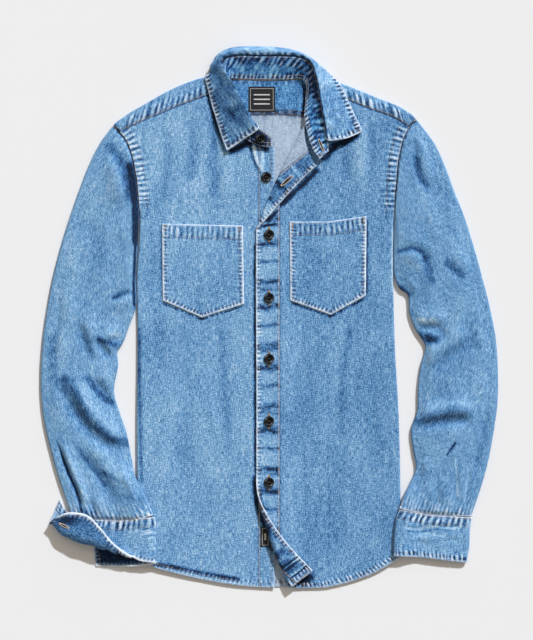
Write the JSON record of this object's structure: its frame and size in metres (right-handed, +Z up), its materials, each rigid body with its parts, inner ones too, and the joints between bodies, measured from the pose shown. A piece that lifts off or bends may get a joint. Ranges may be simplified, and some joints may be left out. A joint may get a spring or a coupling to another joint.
{
  "type": "denim shirt",
  "caption": "Men's long-sleeved denim shirt laid out flat, with a turned-down collar, chest pockets, a buttoned front and an open cuff.",
  "frame": {"origin": "on the ground under the middle of the shirt's outline, with the shirt lying on its back", "axes": "+X towards the wearer's left sleeve, +Y towards the collar, +Z up from the ground through the front"},
  "size_m": [0.6672, 0.7902, 0.026],
  "materials": {
    "denim": "stone-washed blue twill, worn pale along its seams",
    "button": "polished black with pale thread",
    "label": "black woven tape, no words"
  },
  "bodies": {
    "root": {"front_right": "denim", "front_left": "denim", "placket_right": "denim", "placket_left": "denim", "back": "denim", "yoke": "denim", "collar": "denim", "collar_stand": "denim", "sleeve_right": "denim", "sleeve_left": "denim", "cuff_right": "denim", "cuff_left": "denim", "pocket_right": "denim", "pocket_left": "denim", "button_1": "button", "button_2": "button", "button_3": "button", "button_4": "button", "button_5": "button", "button_open": "button", "button_stand": "button", "neck_label": "label", "placket_label": "label"}
  },
  "joints": []
}
